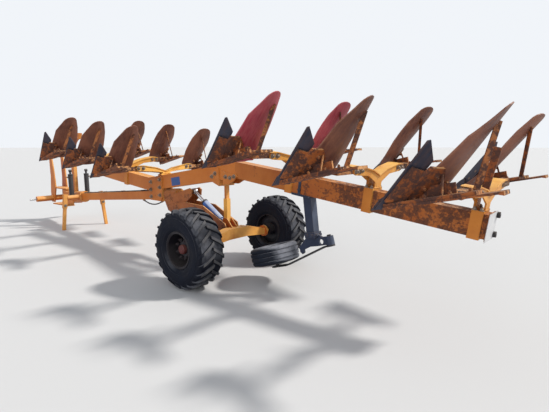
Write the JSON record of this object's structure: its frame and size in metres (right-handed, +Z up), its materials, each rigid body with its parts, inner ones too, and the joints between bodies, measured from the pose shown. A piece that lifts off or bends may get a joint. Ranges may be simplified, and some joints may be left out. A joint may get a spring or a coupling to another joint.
{
  "type": "semi-mounted reversible moldboard plough",
  "caption": "Reversible plough with curved mouldboards along a bent beam on a two-wheel carriage, parked on stands with its frame a quarter turned.",
  "frame": {"origin": "on the ground, in the middle of the plough's length and width", "axes": "+X rearward, away from the tractor; +Z up; the near row of bodies in the picture is on the -Y side"},
  "size_m": [8.4144, 1.785, 2.0099],
  "materials": {
    "orange_paint": "faded orange paint, chipped and rust-mottled",
    "rusty_steel": "rusty steel with remains of orange paint",
    "mouldboard_brown": "brown rust bloom over worn steel",
    "mouldboard_red": "crimson paint, lightly scratched",
    "share_steel": "dark blue-black wear steel",
    "tyre": "black rubber, dusty",
    "rim": "dark paint, dull",
    "dark_blue_paint": "dark blue paint, dusty",
    "white_board": "white, dusty",
    "bright_steel": "polished rod",
    "black_paint": "black paint"
  },
  "bodies": {
    "carriage": {"carriage_head": "orange_paint"},
    "lift": {"lift_arm": "orange_paint", "axle": "orange_paint"},
    "wheel_near": {"tyre_near": "tyre", "rim_near": "rim"},
    "wheel_far": {"tyre_far": "tyre", "rim_far": "rim"},
    "lift_barrel": {"lift_barrel": "dark_blue_paint"},
    "lift_rod": {"lift_rod": "bright_steel"},
    "prop_tube": {"prop_tube": "orange_paint"},
    "prop_bar": {"prop_bar": "orange_paint"},
    "frame": {"draw_beam": "orange_paint", "pivot_block": "orange_paint", "frame_hose": "tyre", "front_beam": "orange_paint", "middle_beam": "orange_paint", "rear_beam": "orange_paint", "knee_bracket": "orange_paint", "saddles_front": "orange_paint", "saddles_rear": "orange_paint", "frogs_front": "rusty_steel", "frogs_rear": "rusty_steel", "landsides_front": "rusty_steel", "landsides_rear": "rusty_steel", "shares_front": "share_steel", "shares_rear": "share_steel", "boards_front": "mouldboard_brown", "boards_rear": "mouldboard_brown", "boards_red": "mouldboard_red", "skimmer_stem": "rusty_steel", "end_cap": "rusty_steel", "marker_board": "white_board", "gauge_clamp": "dark_blue_paint", "gauge_leg": "dark_blue_paint"},
    "gauge_arm": {"gauge_arm": "black_paint"},
    "gauge_wheel": {"gauge_tyre": "tyre", "gauge_rim": "rim"},
    "front_block": {"front_block": "orange_paint", "turning_cylinders": "black_paint", "hose_mast": "orange_paint", "stand_tubes": "orange_paint"},
    "stand_near": {"stand_leg_near": "rusty_steel"},
    "stand_far": {"stand_leg_far": "rusty_steel"},
    "headstock": {"headstock": "orange_paint", "link_pins": "bright_steel"}
  },
  "joints": [
    {"name": "lift", "type": "hinge", "parent": "carriage", "child": "lift", "pos_m": [0.0228, 0, 0.68], "axis": [0, -1, 0], "range_deg": [-4, 8]},
    {"name": "wheel_near_spin", "type": "hinge", "parent": "lift", "child": "wheel_near", "pos_m": [1.2028, -0.7175, 0.437], "axis": [0, 1, 0], "continuous": true},
    {"name": "wheel_far_spin", "type": "hinge", "parent": "lift", "child": "wheel_far", "pos_m": [1.2028, 0.7175, 0.437], "axis": [0, 1, 0], "continuous": true},
    {"name": "lift_barrel_swing", "type": "hinge", "parent": "lift", "child": "lift_barrel", "pos_m": [0.9528, 0, 0.6], "axis": [0, -1, 0], "range_deg": [-4, 8]},
    {"name": "lift_rod_slide", "type": "slide", "parent": "lift_barrel", "child": "lift_rod", "axis": [-0.8506, 0, 0.5258], "range_m": [-0.07, 0.04]},
    {"name": "prop_swing", "type": "hinge", "parent": "lift", "child": "prop_tube", "pos_m": [1.0428, 0, 0.62], "axis": [0, -1, 0], "range_deg": [-9, 5]},
    {"name": "prop_slide", "type": "slide", "parent": "prop_tube", "child": "prop_bar", "axis": [0, 0, 1], "range_m": [-0.148, 0.076]},
    {"name": "turnover", "type": "hinge", "parent": "carriage", "child": "frame", "pos_m": [-0.1922, 0, 0.84436], "axis": [0.9956, 0, 0.0932], "range_deg": [-90, 90]},
    {"name": "headstock_turn", "type": "hinge", "parent": "frame", "child": "front_block", "pos_m": [-2.9022, 0, 0.59058], "axis": [0.9956, 0, 0.0932], "range_deg": [-92, 92]},
    {"name": "steer", "type": "hinge", "parent": "front_block", "child": "headstock", "pos_m": [-3.6472, 0, 0.5], "axis": [0, 0, 1], "range_deg": [-60, 60]},
    {"name": "stand_near_slide", "type": "slide", "parent": "front_block", "child": "stand_near", "axis": [0, 0.1045, 0.9945], "range_m": [0, 0.25]},
    {"name": "stand_far_slide", "type": "slide", "parent": "front_block", "child": "stand_far", "axis": [0, -0.1045, 0.9945], "range_m": [0, 0.25]},
    {"name": "gauge_swing", "type": "hinge", "parent": "frame", "child": "gauge_arm", "pos_m": [2.56202, 0, 0.562], "axis": [-0.2924, 0, 0.9563], "range_deg": [-55, 55]},
    {"name": "gauge_spin", "type": "hinge", "parent": "gauge_arm", "child": "gauge_wheel", "pos_m": [1.8228, 0, 0.336], "axis": [-0.2924, 0, 0.9563], "continuous": true}
  ],
  "couplings": [
    {"joint": "lift_barrel_swing", "follows": "lift", "ratio": 0.3},
    {"joint": "lift_rod_slide", "follows": "lift", "m_per_rad": -0.415},
    {"joint": "prop_swing", "follows": "lift", "ratio": -1},
    {"joint": "prop_slide", "follows": "lift", "m_per_rad": -1.0155},
    {"joint": "headstock_turn", "follows": "turnover", "ratio": -1},
    {"joint": "gauge_swing", "follows": "turnover", "ratio": 0.6}
  ]
}
